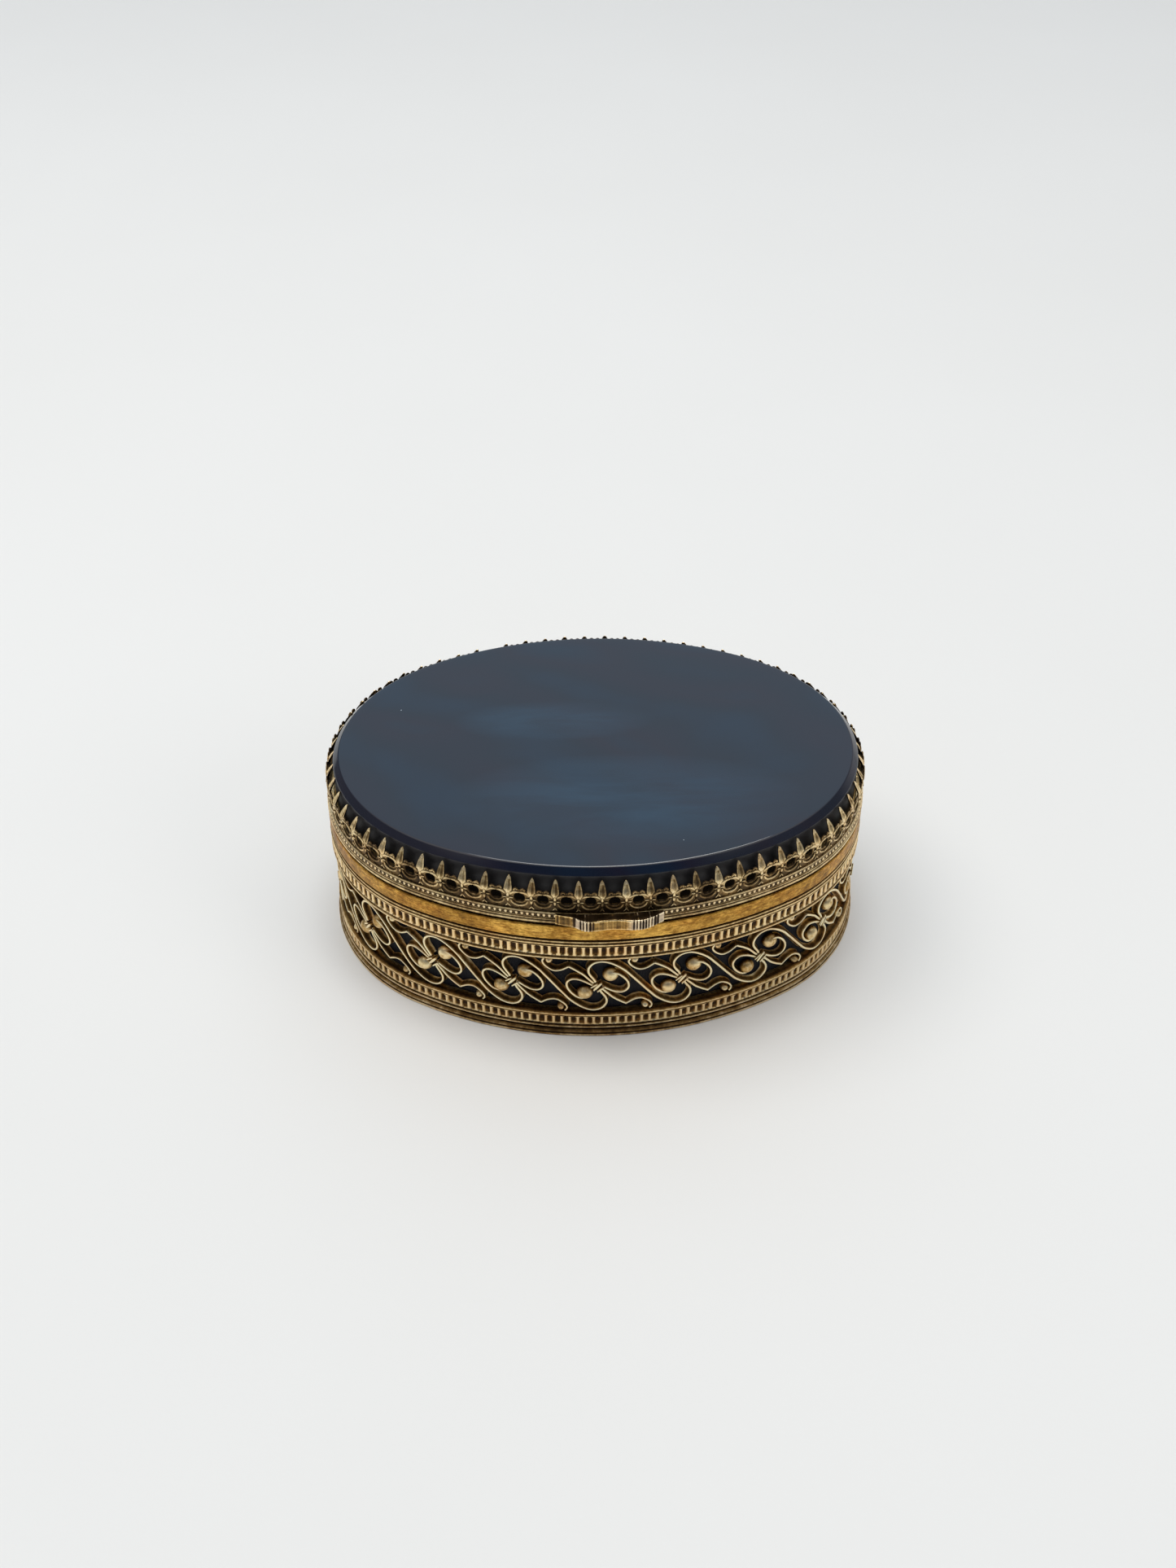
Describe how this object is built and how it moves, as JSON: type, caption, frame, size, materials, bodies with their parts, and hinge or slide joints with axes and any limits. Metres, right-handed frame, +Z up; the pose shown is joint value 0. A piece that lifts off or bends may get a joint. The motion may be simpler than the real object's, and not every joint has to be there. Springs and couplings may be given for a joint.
{
  "type": "pill box",
  "caption": "Oval gilt-brass trinket or pill box with a pierced scroll gallery over a dark backing and a hinged lid of dark agate held by claws.",
  "frame": {"origin": "centre of the flat underside, on the surface it stands on", "axes": "+Z up through the lid, +X along the oval's length to the right, -Y to the front with the thumb piece, hinge at +Y"},
  "size_m": [0.0666, 0.0524, 0.0253],
  "materials": {
    "gilt_brass": "aged polished",
    "plain_brass": "satin",
    "tarnished_gilt": "tarnished",
    "dark_backing": "matt",
    "velvet": "velvet pile",
    "agate": "polished"
  },
  "bodies": {
    "base": {"foot_ring": "gilt_brass", "base_plate": "plain_brass", "lower_fluted_band": "gilt_brass", "scroll_gallery": "gilt_brass", "upper_fluted_band": "gilt_brass", "rim_collar": "gilt_brass", "inner_flange": "gilt_brass", "backing_sleeve": "dark_backing", "wall_lining": "velvet", "floor_pad": "velvet", "hinge_base_leaf": "gilt_brass", "hinge_pin": "gilt_brass"},
    "lid": {"hinge_lid_leaf": "gilt_brass", "lid_rim": "gilt_brass", "bead_strip": "tarnished_gilt", "claw_gallery": "tarnished_gilt", "lid_plate": "plain_brass", "agate_slab": "agate", "lid_lining": "velvet", "thumb_piece": "gilt_brass"}
  },
  "joints": [
    {"name": "lid_hinge", "type": "hinge", "parent": "base", "child": "lid", "pos_m": [0, 0.0257, 0.01847], "axis": [-1, 0, 0], "range_deg": [0, 100]}
  ]
}
